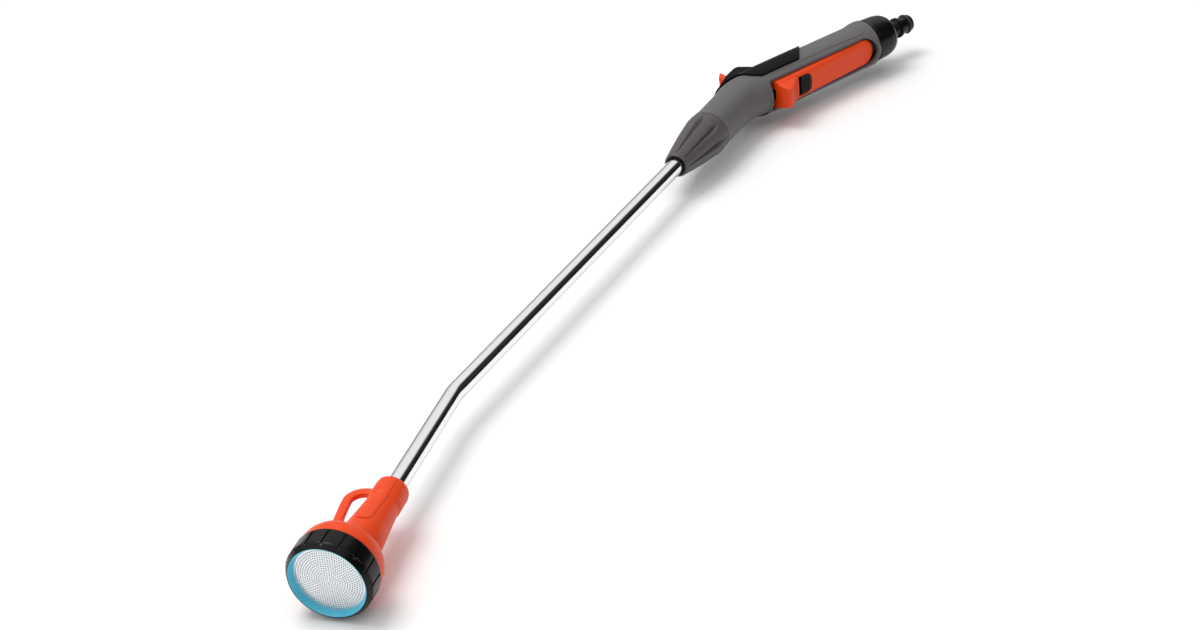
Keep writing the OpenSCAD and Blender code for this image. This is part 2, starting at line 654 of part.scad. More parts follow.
grip_shell_left();
grip_shell_right();
shell_screws();
thumb_pad();
end_cap();
hose_spigot();
spigot_o_ring();
inlet_gasket();
inlet_filter();
valve_body();
valve_gland();
stem_seal();
valve_plug();
trigger_pin();
regulator_body();
lance_socket();
socket_o_rings();
clamp_collet();
trigger();
trigger_lock();
valve_stem();
valve_washer();
valve_spring();
flow_lever();
regulator_plug();
plug_o_rings();
collar_nut();
collar_bush();
lance_tube();
tube_ferrule();
head_body();
head_o_ring();
spray_diffuser();
rose_gasket();
rose_plate();
rose_rim();
bezel_ring();
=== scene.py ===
"""A garden watering wand with a long-trigger grip, a bent metal lance and a shower head.

The wand lies on its side: X runs along the grip from the hose spigot, Y points to the
trigger side and Z is square to the wand's plane of symmetry. All places are in metres.
"""

import math

import bmesh
import bpy
from mathutils import Matrix, Vector


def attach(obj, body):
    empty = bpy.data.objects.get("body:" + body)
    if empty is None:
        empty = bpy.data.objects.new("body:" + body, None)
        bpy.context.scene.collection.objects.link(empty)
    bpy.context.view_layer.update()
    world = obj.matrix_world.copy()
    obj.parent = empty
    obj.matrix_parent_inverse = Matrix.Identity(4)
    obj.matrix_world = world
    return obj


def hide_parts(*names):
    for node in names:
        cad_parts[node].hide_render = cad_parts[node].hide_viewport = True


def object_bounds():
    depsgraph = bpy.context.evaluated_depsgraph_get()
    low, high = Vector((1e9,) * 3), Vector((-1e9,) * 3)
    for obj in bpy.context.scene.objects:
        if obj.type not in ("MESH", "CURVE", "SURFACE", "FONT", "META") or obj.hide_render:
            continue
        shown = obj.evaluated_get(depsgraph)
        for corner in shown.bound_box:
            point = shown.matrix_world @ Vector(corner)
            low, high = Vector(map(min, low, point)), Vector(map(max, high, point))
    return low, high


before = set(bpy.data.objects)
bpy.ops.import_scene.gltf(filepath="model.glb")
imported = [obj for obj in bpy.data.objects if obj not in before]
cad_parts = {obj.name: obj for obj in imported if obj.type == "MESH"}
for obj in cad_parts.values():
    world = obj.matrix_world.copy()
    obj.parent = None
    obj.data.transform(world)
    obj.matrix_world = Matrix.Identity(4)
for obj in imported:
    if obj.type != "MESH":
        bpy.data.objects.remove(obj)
cad_low, cad_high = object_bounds()
MM = 0.001

# ---- Camera ----
# A long lens over the shower head's side, looking down the wand towards the spigot.
camera_data = bpy.data.cameras.new("studio_camera")
camera_data.lens = 63.3
camera_data.sensor_width = 36
camera_data.clip_end = 200
camera = bpy.data.objects.new("studio_camera", camera_data)
bpy.context.scene.collection.objects.link(camera)
camera_right = Vector((-0.76031, 0.64361, -0.08771))
camera_up = Vector((-0.38824, -0.34202, 0.85574))
turn = Matrix((camera_right, camera_up, camera_right.cross(camera_up))).transposed().to_4x4()
camera.matrix_world = Matrix.Translation((1.23296, 1.14754, 0.72676)) @ turn
bpy.context.scene.camera = camera

# ---- Floor and lights ----
# A pale paper sweep under the wand and three soft lamps. The sky is white behind and above the
# wand and dark on the camera's side, so that the polished lance has something to reflect.
FLOOR_DROP = 0.4 * MM
FLOOR_HALF = 60
DARK_SIDE = (-0.386, 0.9225, 0)
paper = bpy.data.materials.new("paper_sweep")
paper.use_nodes = True
paper.node_tree.nodes["Principled BSDF"].inputs["Base Color"].default_value = (0.95, 0.95, 0.95, 1)
paper.node_tree.nodes["Principled BSDF"].inputs["Roughness"].default_value = 0.85
sheet = bmesh.new()
bmesh.ops.create_grid(sheet, x_segments=1, y_segments=1, size=FLOOR_HALF)
bmesh.ops.translate(sheet, verts=sheet.verts, vec=(0, 0, cad_low[2] - FLOOR_DROP))
floor_mesh = bpy.data.meshes.new("floor")
sheet.to_mesh(floor_mesh)
sheet.free()
floor_mesh.materials.append(paper)
floor = bpy.data.objects.new("floor", floor_mesh)
bpy.context.scene.collection.objects.link(floor)


def soft_lamp(name, place, aim, size, watts):
    """A square area lamp at place, turned to aim."""
    data = bpy.data.lights.new(name, "AREA")
    data.shape = "SQUARE"
    data.size = size
    data.energy = watts
    lamp = bpy.data.objects.new(name, data)
    bpy.context.scene.collection.objects.link(lamp)
    lamp.location = place
    lamp.rotation_euler = (Vector(aim) - Vector(place)).to_track_quat("-Z", "Y").to_euler()


soft_lamp("key_lamp", (0.85, -0.55, 2.3), (0.45, 0.1, 0), 1.2, 28)
soft_lamp("side_lamp", (-0.5, 1.3, 0.9), (0.2, 0.1, 0), 0.8, 4)
soft_lamp("head_lamp", (1.7, 0.9, 0.5), (0.75, 0.25, 0), 0.5, 2)
bpy.context.scene.view_settings.view_transform = "Standard"

sky = bpy.data.worlds.new("studio_sky")
sky.use_nodes = True
bpy.context.scene.world = sky
sky_nodes = sky.node_tree.nodes
sky_links = sky.node_tree.links


def sky_step(value, start, end, low, high):
    """A grey that runs from low to high while the value runs from start to end."""
    step = sky_nodes.new("ShaderNodeMapRange")
    for socket, number in zip(("From Min", "From Max", "To Min", "To Max"), (start, end, low, high)):
        step.inputs[socket].default_value = number
    sky_links.new(value, step.inputs["Value"])
    return step.outputs["Result"]


def sky_sum(how, first, second):
    """Two greys put together with a Math node."""
    node = sky_nodes.new("ShaderNodeMath")
    node.operation = how
    sky_links.new(first, node.inputs[0])
    sky_links.new(second, node.inputs[1])
    return node.outputs[0]


sky_place = sky_nodes.new("ShaderNodeTexCoord")
sky_height = sky_nodes.new("ShaderNodeSeparateXYZ")
sky_side = sky_nodes.new("ShaderNodeVectorMath")
sky_side.operation = "DOT_PRODUCT"
sky_side.inputs[1].default_value = DARK_SIDE
sky_links.new(sky_place.outputs["Generated"], sky_height.inputs[0])
sky_links.new(sky_place.outputs["Generated"], sky_side.inputs[0])
white_side = sky_step(sky_side.outputs["Value"], 0.12, 0.30, 1.0, 0.03)
horizon = sky_step(sky_height.outputs["Z"], 0.05, 0.50, 0.15, 1.0)
overhead = sky_step(sky_height.outputs["Z"], 0.70, 0.80, 0.0, 1.0)
grey_level = sky_sum("MAXIMUM", sky_sum("MULTIPLY", white_side, horizon), overhead)
sky_nodes["Background"].inputs["Color"].default_value = (1, 1, 1, 1)
sky_links.new(sky_step(grey_level, 0, 1, 0, 0.92), sky_nodes["Background"].inputs["Strength"])

# ---- Grip shells ----
# Two halves of glass-filled grey plastic, moulded with a fine spark-eroded grain. They meet on
# the plane of symmetry, are held by four screws, and close round the valve and the lance socket.
BEND_X = 198 * MM
NECK_ANGLE = math.radians(22.7)
BEND_ROUNDING = 45 * MM
SHELL_WALL = 2.5 * MM
PARTING_GAP = 0.06 * MM
RING_POINTS = 96
GLOSS_DRIFT = 0.14
HALF_BOX = (0.4, 0.3, 0.1)
BOX_X = 0.17
BOX_Y = 0.05
OPENING_FLOOR = 5 * MM
CUT_TOP = 40 * MM
SLOT_HALF = 9 * MM
HOLLOW_FROM = 50
HOLLOW_TO = 259


def finish(name, colour, rough, grain=0.02, grain_size=0.4, metal=0.0, mottle=0.05, shine=0.5):
    """A moulded or metal surface: fine grain as bump, and colour and gloss that drift slightly."""
    material = bpy.data.materials.new(name)
    material.use_nodes = True
    nodes = material.node_tree.nodes
    links = material.node_tree.links
    shader = nodes["Principled BSDF"]
    shader.inputs["Metallic"].default_value = metal
    shader.inputs["Specular IOR Level"].default_value = shine
    place = nodes.new("ShaderNodeTexCoord")
    fine = nodes.new("ShaderNodeTexNoise")
    fine.inputs["Scale"].default_value = 1 / (grain_size * MM)
    fine.inputs["Detail"].default_value = 3
    bump = nodes.new("ShaderNodeBump")
    bump.inputs["Strength"].default_value = 0.5
    bump.inputs["Distance"].default_value = grain * MM
    broad = nodes.new("ShaderNodeTexNoise")
    broad.inputs["Scale"].default_value = 45
    broad.inputs["Detail"].default_value = 4
    drift = nodes.new("ShaderNodeMapRange")
    drift.inputs["To Min"].default_value = rough * (1 - GLOSS_DRIFT)
    drift.inputs["To Max"].default_value = min(rough * (1 + GLOSS_DRIFT), 1)
    tint = nodes.new("ShaderNodeMix")
    tint.data_type = "RGBA"
    tint.inputs["A"].default_value = [c * (1 - mottle) for c in colour] + [1]
    tint.inputs["B"].default_value = [min(c * (1 + mottle), 1) for c in colour] + [1]
    links.new(place.outputs["Object"], fine.inputs["Vector"])
    links.new(place.outputs["Object"], broad.inputs["Vector"])
    links.new(fine.outputs["Fac"], bump.inputs["Height"])
    links.new(bump.outputs["Normal"], shader.inputs["Normal"])
    links.new(broad.outputs["Fac"], drift.inputs["Value"])
    links.new(drift.outputs["Result"], shader.inputs["Roughness"])
    links.new(broad.outputs["Fac"], tint.inputs["Factor"])
    links.new(tint.outputs["Result"], shader.inputs["Base Color"])
    return material


def crisp(piece, sharp):
    """Smooth shading on the piece, with its edges over that many degrees left crisp."""
    piece.data.shade_smooth()
    piece.data.set_sharp_from_angle(angle=math.radians(sharp))


def made(name, shape, material, sharp=32):
    """The bmesh as a smooth-shaded object whose edges over that many degrees stay crisp."""
    bmesh.ops.remove_doubles(shape, verts=shape.verts, dist=1e-7)
    bmesh.ops.recalc_face_normals(shape, faces=shape.faces)
    mesh = bpy.data.meshes.new(name)
    shape.to_mesh(mesh)
    shape.free()
    mesh.materials.append(material)
    piece = bpy.data.objects.new(name, mesh)
    bpy.context.scene.collection.objects.link(piece)
    crisp(piece, sharp)
    return piece


def skin(rings, closed=False):
    """A bmesh wall through rings of points, capped at both ends unless it closes on itself."""
    shape = bmesh.new()
    loops = []
    for ring in rings:
        circle = bmesh.ops.create_circle(shape, segments=len(ring), radius=1)["verts"]
        for vert, point in zip(circle, ring):
            vert.co = point
        loops.append(list({edge for vert in circle for edge in vert.link_edges}))
    for back, front in zip(loops, loops[1:] + loops[:1] if closed else loops[1:]):
        bmesh.ops.bridge_loops(shape, edges=back + front)
    if not closed:
        for end in (loops[0], loops[-1]):
            bmesh.ops.contextual_create(shape, geom=end)
    return shape


def combine(piece, tool, how="DIFFERENCE"):
    """The piece cut by the tool, joined to it or kept only inside it. The tool is used up."""
    cut = piece.modifiers.new("cut", "BOOLEAN")
    cut.operation = how
    cut.solver = "EXACT"
    cut.object = tool
    bpy.context.view_layer.update()
    depsgraph = bpy.context.evaluated_depsgraph_get()
    result = bpy.data.meshes.new_from_object(piece.evaluated_get(depsgraph))
    piece.modifiers.clear()
    piece.data = result
    bpy.data.objects.remove(tool)
    return piece


def rounded(points, radius, steps=4):
    """The closed outline with its corners rounded to that radius, or to less where it is tight."""
    outline = []
    for i, corner in enumerate(points):
        here = Vector(corner[:2])
        back = Vector(points[i - 1][:2]) - here
        on = Vector(points[(i + 1) % len(points)][:2]) - here
        half = back.angle(on) / 2
        fillet = corner[2] if len(corner) > 2 else radius
        leg = min(fillet / math.tan(half), 0.45 * back.length, 0.45 * on.length)
        if leg < 1e-6 or half > math.radians(88):
            outline.append(here)
            continue
        start = here + back.normalized() * leg
        end = here + on.normalized() * leg
        for k in range(steps + 1):
            t = k / steps
            outline.append((1 - t) ** 2 * start + 2 * t * (1 - t) * here + t * t * end)
    return outline


def prism(outline, low, high, edge=0.0, place=Matrix()):
    """A bmesh plate: an outline in XY run from Z = low to high, with rounded edges."""
    shape = bmesh.new()
    base = [shape.verts.new((p[0], p[1], low)) for p in outline]
    face = shape.faces.new(base)
    top = bmesh.ops.extrude_face_region(shape, geom=[face])["geom"]
    top_verts = [v for v in top if isinstance(v, bmesh.types.BMVert)]
    bmesh.ops.translate(shape, verts=top_verts, vec=(0, 0, high - low))
    bmesh.ops.recalc_face_normals(shape, faces=shape.faces)
    if edge:
        rims = [e for e in shape.edges if abs(e.verts[0].co.z - e.verts[1].co.z) < 1e-9]
        bmesh.ops.bevel(shape, geom=rims, offset=edge, segments=4, affect="EDGES", profile=0.5,
                        material=-1, clamp_overlap=True)
    bmesh.ops.transform(shape, matrix=place, verts=shape.verts)
    return shape


def grip_line(u):
    """Place and direction at u along the shells' centre line, with the bend drawn as an arc."""
    leg = BEND_ROUNDING * math.tan(NECK_ANGLE / 2)
    arc = BEND_ROUNDING * NECK_ANGLE
    start = BEND_X - leg
    if u <= start:
        return Vector((u, 0, 0)), 0.0
    if u <= start + arc:
        angle = (u - start) / BEND_ROUNDING
        rise = BEND_ROUNDING * (1 - math.cos(angle))
        return Vector((start + BEND_ROUNDING * math.sin(angle), rise, 0)), angle
    on = u - start - arc + leg
    return Vector((BEND_X + on * math.cos(NECK_ANGLE), on * math.sin(NECK_ANGLE), 0)), NECK_ANGLE


def between(stops, at):
    """The value at a place among (place, value, value ...) stops, eased from each stop to the next."""
    for low, high in zip(stops, stops[1:]):
        if at <= high[0]:
            t = max(0, (at - low[0]) / (high[0] - low[0]))
            t = t * t * (3 - 2 * t)
            return [a + (b - a) * t for a, b in zip(low[1:], high[1:])]
    return stops[-1][1:]


# Along the centre line in mm: half height, half width and squareness of the shell's section.
GRIP_SECTIONS = (
    (54.5, 19.3, 19.3, 2.0), (55, 19.75, 19.75, 2.0), (58.5, 19.75, 19.75, 2.0),
    (69, 18.45, 18.2, 2.1), (92, 18.4, 17.7, 2.3), (165, 18.4, 17.8, 2.3), (196, 17.6, 17.6, 2.15),
    (225, 16.9, 17.0, 2.0), (251, 16.6, 16.8, 2.0), (252.2, 16.9, 17.0, 2.0), (253, 17.1, 17.1, 2.0),
    (256.2, 17.1, 17.1, 2.0), (257.0, 16.9, 16.9, 2.0), (257.5, 16.3, 16.3, 2.0))


def grip_ring(u, inset=0.0):
    """One section of the shells at u millimetres along their centre line, as a ring of points."""
    centre, angle = grip_line(u * MM)
    high, wide, square = between(GRIP_SECTIONS, u)
    across = Vector((-math.sin(angle), math.cos(angle), 0))
    ring = []
    for k in range(RING_POINTS):
        turn_angle = 2 * math.pi * k / RING_POINTS
        c, s = math.cos(turn_angle), math.sin(turn_angle)
        y = math.copysign(abs(c) ** (2 / square), c) * (high * MM - inset)
        z = math.copysign(abs(s) ** (2 / square), s) * (wide * MM - inset)
        ring.append(centre + across * y + Vector((0, 0, z)))
    return ring


def grip_height(x, z):
    """Height Y of the shells' outer face on the trigger side."""
    high, wide, square = between(GRIP_SECTIONS, x / MM)
    return high * MM * max(0, 1 - abs(z / (wide * MM)) ** square) ** (1 / square)


STATIONS = [54.5, 54.7, 55, 56.5, 58.5] + list(range(60, 251, 3))
STATIONS += [250.6, 251, 251.5, 252.2, 253, 256.2, 256.6, 257, 257.5]
TRIGGER_HALF = 11.5 * MM
TRIGGER_BACK = 58 * MM
TRIGGER_FRONT = 172.5 * MM
OPENING_GAP = 0.9 * MM
FRONT_SWING = 0.9 * MM
FRONT_SHADOW = 3.2 * MM
TRIGGER_NOSE = 3 * MM


def trigger_plan(gap, ahead=0.0):
    """Plan of the trigger, as (x, z) points: round at its hinge end, nearly square at its front."""
    half = TRIGGER_HALF + gap
    front = TRIGGER_FRONT + FRONT_SWING + ahead + gap - TRIGGER_NOSE
    plan = []
    for k in range(25):
        angle = math.pi * (0.5 + k / 24)
        plan.append((TRIGGER_BACK + TRIGGER_HALF + half * math.cos(angle), half * math.sin(angle)))
    for side, first in ((-1, -90), (1, 0)):
        for k in range(7):
            angle = math.radians(first + 15 * k)
            plan.append((front + TRIGGER_NOSE * math.cos(angle),
                         side * (half - TRIGGER_NOSE) + TRIGGER_NOSE * math.sin(angle)))
    return plan


def upright(outline, low, high, edge=0.0):
    """A plate whose outline is in (x, z), run along Y from low to high."""
    stand = Matrix.Rotation(math.radians(-90), 4, "X")
    return prism([(x, -z) for x, z in outline], low, high, edge, stand)


LEVER_PIVOT = Vector((196 * MM, 0, 0))
LEVER_SLOT = ((-5.6, -5), (5.0, -5), (15.8, -48), (-20.4, -48))
grey = finish("warm_grey_plastic", (0.118, 0.112, 0.114), 0.50, grain=0.03, grain_size=0.35, shine=0.35)
lever_slot = [(LEVER_PIVOT.x + x * MM, y * MM) for x, y in LEVER_SLOT]
hollow_stations = [HOLLOW_FROM] + STATIONS[3:-3] + [HOLLOW_TO]
for side, name in ((1, "grip_shell_left_skin"), (-1, "grip_shell_right_skin")):
    shell = made(name, skin([grip_ring(u) for u in STATIONS]), grey)
    combine(shell, made("hollow", skin([grip_ring(u, SHELL_WALL) for u in hollow_stations]), grey))
    half_box = bmesh.new()
    bmesh.ops.create_cube(half_box, size=1)
    bmesh.ops.scale(half_box, vec=HALF_BOX, verts=half_box.verts)
    box_side = side * (HALF_BOX[2] / 2 + PARTING_GAP / 2)
    bmesh.ops.translate(half_box, vec=(BOX_X, BOX_Y, box_side), verts=half_box.verts)
    combine(shell, made("half", half_box, grey), "INTERSECT")
    opening = upright(trigger_plan(OPENING_GAP, FRONT_SHADOW), OPENING_FLOOR, CUT_TOP)
    combine(shell, made("opening", opening, grey))
    combine(shell, made("slot", prism(lever_slot, -SLOT_HALF, SLOT_HALF), grey))
    crisp(shell, 32)
    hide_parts("grip_shell_left" if side > 0 else "grip_shell_right")
    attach(shell, "handle")

# ---- Lip round the trigger ----
# A bead moulded on the shells round the trigger's opening, which keeps dirt and fingers out.
LIP_RADIUS = 1.6 * MM
LIP_OUT = 1.3 * MM
LIP_SINK = 0.35 * MM
LIP_STEP = 4 * MM


def circle(radius, count):
    """Points round a circle, as (x, y) pairs."""
    turns = [2 * math.pi * k / count for k in range(count)]
    return [(radius * math.cos(a), radius * math.sin(a)) for a in turns]


def swept(path, section, up, closed=False):
    """A bmesh bar: the section's (side, up) points carried along the path."""
    rings = []
    for i, point in enumerate(path):
        back = path[i - 1] if closed or i else path[0]
        on = path[(i + 1) % len(path)] if closed or i + 1 < len(path) else path[-1]
        along = (Vector(on) - Vector(back)).normalized()
        side = along.cross(up).normalized()
        over = side.cross(along)
        rings.append([Vector(point) + side * a + over * b for a, b in section])
    return skin(rings, closed)


lip_path = []
for x, z in trigger_plan(OPENING_GAP + LIP_OUT, FRONT_SHADOW):
    lip_path.append(Vector((x, grip_height(x, z) - LIP_SINK, z)))
lip_path = [p for i, p in enumerate(lip_path) if (p - lip_path[i - 1]).length > 1e-5]
filled = []
for i, point in enumerate(lip_path):
    on = lip_path[(i + 1) % len(lip_path)]
    count = max(1, round((on - point).length / LIP_STEP))
    for k in range(count):
        mid = point.lerp(on, k / count)
        filled.append(Vector((mid.x, grip_height(mid.x, mid.z) - LIP_SINK, mid.z)))
bead = circle(LIP_RADIUS, 16)
lip = made("trigger_lip", swept(filled, bead, Vector((0, 1, 0)), closed=True), grey, 60)
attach(lip, "handle")

# ---- Side creases ----
# A low moulded ridge runs along each shell between the soft pad and the lip. It is half sunk in
# the shell's wall, and its back end dips under the surface.
CREASE_RADIUS = 1.0 * MM
CREASE_SINK = 0.65 * MM
CREASE_STEP = 3
CREASE_TAIL = 2 * MM
CREASE_LINE = ((60.2, 6.4), (62.5, 8.6), (66.4, 9.9), (74.5, 10.3), (86, 9.9), (107, 9.2),
               (137, 9.0), (158, 9.1), (176, 9.3))
crease_round = [(CREASE_RADIUS * a / LIP_RADIUS, CREASE_RADIUS * b / LIP_RADIUS) for a, b in bead]
for side, name in ((1, "grip_crease_left"), (-1, "grip_crease_right")):
    crease_path = []
    for (x, y), (next_x, next_y) in zip(CREASE_LINE, CREASE_LINE[1:]):
        steps = max(1, round((next_x - x) / CREASE_STEP))
        for k in range(steps):
            at_x = x + (next_x - x) * k / steps
            at_y = y + (next_y - y) * k / steps
            high, wide, square = between(GRIP_SECTIONS, at_x)
            at_z = side * wide * (1 - (at_y / high) ** square) ** (1 / square)
            out = Vector((0, at_y, at_z)) * MM
            sink = CREASE_SINK if crease_path else 2 * CREASE_SINK
            crease_path.append(Vector((at_x * MM, 0, 0)) + out - sink * out.normalized())
    tail = Vector((CREASE_TAIL, 0, 0)) - out.normalized() * CREASE_SINK
    crease_path.append(crease_path[-1] + tail)
    crease = made(name, swept(crease_path, crease_round, Vector((0, 0, 1))), grey, 60)
    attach(crease, "handle")

# ---- Soft pad ----
# A skin of black elastomer over the grip's back, moulded on to the shells. Its front rises into
# a hump that guards the flow lever's root and gives the thumb a rest.
PAD_SKIN = 1.6 * MM
PAD_OVERLAP = 0.02 * MM
PAD_CORNER = 0.5 * MM
PAD_SLOT_HALF = 8.9 * MM
TRIM_REACH = 30 * MM
HUMP_HALF = 11.8 * MM
HUMP_EDGE = 2.6 * MM
# Side views in mm, as (x, y) or (x, y, corner radius).
PAD_SIDE = ((110.2, -34), (110.2, -19.8), (137.3, 7.8, 4), (179, 7.8, 3), (186, 2, 6),
            (191, -11.9, 3), (209, -11.9), (212.5, -14), (212.5, -34))
HUMP_SIDE = ((158, -14, 1), (163, -19.6, 6), (171.3, -29.9, 2.5), (175.5, -29.9, 4),
             (189.5, -24.3, 6), (207.6, -13.2, 6), (213, -9, 1), (213, -6, 1), (158, -6, 1))
black_soft = finish("soft_black_elastomer", (0.0045, 0.0035, 0.0037), 0.5, grain=0.02,
                    grain_size=0.5, shine=0.06)
pad_rings = [grip_ring(u, -PAD_SKIN) for u in range(104, 226, 2)]
pad = made("thumb_pad_skin", skin(pad_rings), black_soft)
hump_outline = rounded([(x * MM, y * MM, r * MM) for x, y, r in HUMP_SIDE], 0, 6)
hump = made("hump", prism(hump_outline, -HUMP_HALF, HUMP_HALF, HUMP_EDGE), black_soft)
combine(pad, hump, "UNION")
pad_outline = rounded([[c * MM for c in corner] for corner in PAD_SIDE], PAD_CORNER, 6)
trim = made("trim", prism(pad_outline, -TRIM_REACH, TRIM_REACH), black_soft)
combine(pad, trim, "INTERSECT")
combine(pad, made("inner", skin([grip_ring(u, PAD_OVERLAP) for u in STATIONS]), black_soft))
combine(pad, made("slot", prism(lever_slot, -PAD_SLOT_HALF, PAD_SLOT_HALF), black_soft))
crisp(pad, 38)
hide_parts("thumb_pad")
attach(pad, "handle")

# ---- Trigger ----
# A long hollow lever of satin orange plastic, hinged at the hose end. Its free end has a faceted
# hook that stops the fingers from slipping forward.
LOCK_X = 142.7 * MM
LOCK_WINDOW = 15.4 * MM
LOCK_HALF = 8.6 * MM
TRIGGER_WALL = 2.2 * MM
TRIGGER_EDGE = 7.2 * MM
TRIGGER_CROWN = 0.408 * MM
TRIGGER_SHOULDER = 4.2 * MM
BACK_EASE = 4 * MM
BACK_DROP = 2.2 * MM
HOLLOW_EDGE = 2 * MM
WINDOW_FLOOR = 10 * MM
HOOK_EDGE = 0.9 * MM
HOOK_POINTS = ((151.4, 19.6, 9.6), (151.6, 13.2, 11.3), (168.0, 30.2, 8.0),
               (170.3, 29.9, 8.2), (172.4, 24.0, 9.6), (172.4, 12.8, 11.3))
NOTCH_HALF = 4.6 * MM
NOTCH_TOP = 15.7 * MM
NOTCH_BACK = TRIGGER_FRONT - 4 * MM
NOTCH_FRONT = TRIGGER_FRONT + 2 * MM
orange = finish("satin_orange_plastic", (0.80, 0.062, 0.006), 0.42, grain=0.006,
                grain_size=0.5, mottle=0.03, shine=0.25)


def oblong(left, right, low, high):
    """The four corners of a rectangle."""
    return [(left, low), (right, low), (right, high), (left, high)]


def face_y(x):
    """Height of the trigger's outer face: it rises slightly towards the hook."""
    return (15.6 + 5.4 * (x - TRIGGER_BACK) / (TRIGGER_FRONT - TRIGGER_BACK)) * MM


def trigger_ring(x, inset):
    """One section of the trigger, square to X, with rounded shoulders."""
    half = TRIGGER_HALF - inset
    back = TRIGGER_BACK + TRIGGER_HALF
    if x < back:
        half = math.sqrt(max(half ** 2 - (back - x) ** 2, (0.4 * MM) ** 2))
    top = face_y(x) - inset
    start = TRIGGER_BACK + inset
    if x < start + BACK_EASE:
        top -= BACK_DROP * (1 - (x - start) / BACK_EASE) ** 2
    low = HOLLOW_EDGE if inset else TRIGGER_EDGE
    shoulder = min(TRIGGER_SHOULDER, half * 0.8, (top - low) * 0.45)
    corner = []
    for k in range(9):
        angle = math.pi / 2 * k / 8
        corner.append((top - shoulder + shoulder * math.sin(angle) - TRIGGER_CROWN,
                       half - shoulder + shoulder * math.cos(angle)))
    ring = [Vector((x, low, half)), Vector((x, low, -half))]
    ring += [Vector((x, y, -z)) for y, z in corner]
    for k in range(1, 8):
        z = (half - shoulder) * (2 * k / 8 - 1)
        ring.append(Vector((x, top - TRIGGER_CROWN * (z / half) ** 2, z)))
    ring += [Vector((x, y, z)) for y, z in reversed(corner)]
    return ring


def trigger_stations(inset):
    """Close stations round the hinge end, then wide ones to the front."""
    start = TRIGGER_BACK + inset
    close = []
    for k in range(13):
        back = (TRIGGER_HALF - inset) * (1 - math.cos(math.pi / 2 * k / 12))
        close.append(start + 0.01 * MM + back)
    steps = 20
    run = TRIGGER_FRONT - inset - close[-1]
    return close + [close[-1] + run * k / steps for k in range(1, steps + 1)]


trigger = made("trigger_skin", skin([trigger_ring(x, 0) for x in trigger_stations(0)]), orange)
hook = bmesh.new()
for x, y, z in HOOK_POINTS:
    for side in (-1, 1):
        hook.verts.new((x * MM, y * MM, side * z * MM))
bmesh.ops.convex_hull(hook, input=hook.verts)
bmesh.ops.dissolve_limit(hook, angle_limit=math.radians(1), verts=hook.verts, edges=hook.edges)
bmesh.ops.bevel(hook, geom=hook.edges, offset=HOOK_EDGE, segments=3, affect="EDGES", profile=0.5,
                material=-1, clamp_overlap=True)
combine(trigger, made("hook", hook, orange), "UNION")
trigger_hollow = [trigger_ring(x, TRIGGER_WALL) for x in trigger_stations(TRIGGER_WALL)]
combine(trigger, made("hollow", skin(trigger_hollow), orange))
# The notch in the front wall clears the outlet pipe when the trigger is squeezed.
notch = oblong(NOTCH_BACK, NOTCH_FRONT, 0, NOTCH_TOP)
combine(trigger, made("notch", prism(notch, -NOTCH_HALF, NOTCH_HALF), orange))


def lock_plan(gap, front):
    """Plan of the lock's window or button, as (x, z) points: rounded behind and square in front."""
    back = LOCK_X - LOCK_WINDOW / 2 + gap
    half = LOCK_HALF - gap
    corners = [(back, -half, 7 * MM), (front, -half, 1 * MM), (front, half, 1 * MM), (back, half, 7 * MM)]
    return rounded(corners, 0, 8)


window = upright(lock_plan(0, LOCK_X + LOCK_WINDOW / 2), WINDOW_FLOOR, CUT_TOP)
combine(trigger, made("window", window, orange))
crisp(trigger, 30)
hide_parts("trigger")
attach(trigger, "trigger")

# ---- Trigger lock ----
# A black slide in the trigger's window. Pushed forward it holds the trigger in; its top is ribbed
# for the fingertip, and it clips in from below.
LOCK_TRAVEL = 3.6 * MM
LOCK_BACK = LOCK_X - 11.8 * MM
LOCK_FRONT = LOCK_X + 10.8 * MM
LOCK_PLATE = 1.5 * MM
LOCK_PLATE_HALF = 8.9 * MM
PLATE_EDGE = 0.2 * MM
BUTTON_GAP = 0.4 * MM
BUTTON_EDGE = 0.5 * MM
BUTTON_LIFT = 1.2 * MM
RIB_HALF = 6.2 * MM
RIB_EDGE = 0.1 * MM
RIB_START = 2.0
RIB_PITCH = 2.1
black = finish("satin_black_plastic", (0.0035, 0.0028, 0.003), 0.24, grain=0.008,
               grain_size=0.45, shine=0.2)
button_front = LOCK_X + LOCK_WINDOW / 2 - BUTTON_GAP - LOCK_TRAVEL
lock_base = face_y(LOCK_X - 12 * MM) - 4.2 * MM
lock_top = face_y(LOCK_X) - 0.7 * MM
lock_side = oblong(LOCK_BACK, LOCK_FRONT, lock_base, lock_base + LOCK_PLATE)
lock_plate = prism(lock_side, -LOCK_PLATE_HALF, LOCK_PLATE_HALF, PLATE_EDGE)
lock = made("trigger_lock_skin", lock_plate, black)
button_plan = lock_plan(BUTTON_GAP, button_front)
button_block = upright(button_plan, lock_base + BUTTON_LIFT, lock_top, BUTTON_EDGE)
button = made("button", button_block, black)
for k in range(4):
    at = button_front - (RIB_START + RIB_PITCH * k) * MM
    rib = [(at - 0.45 * MM, lock_top - 0.4 * MM), (at + 0.45 * MM, lock_top - 0.4 * MM),
           (at + 0.2 * MM, lock_top + 0.5 * MM), (at - 0.2 * MM, lock_top + 0.5 * MM)]
    combine(button, made("rib", prism(rib, -RIB_HALF, RIB_HALF, RIB_EDGE), black), "UNION")
combine(lock, button, "UNION")
crisp(lock, 30)
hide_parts("trigger_lock")
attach(lock, "trigger_lock")

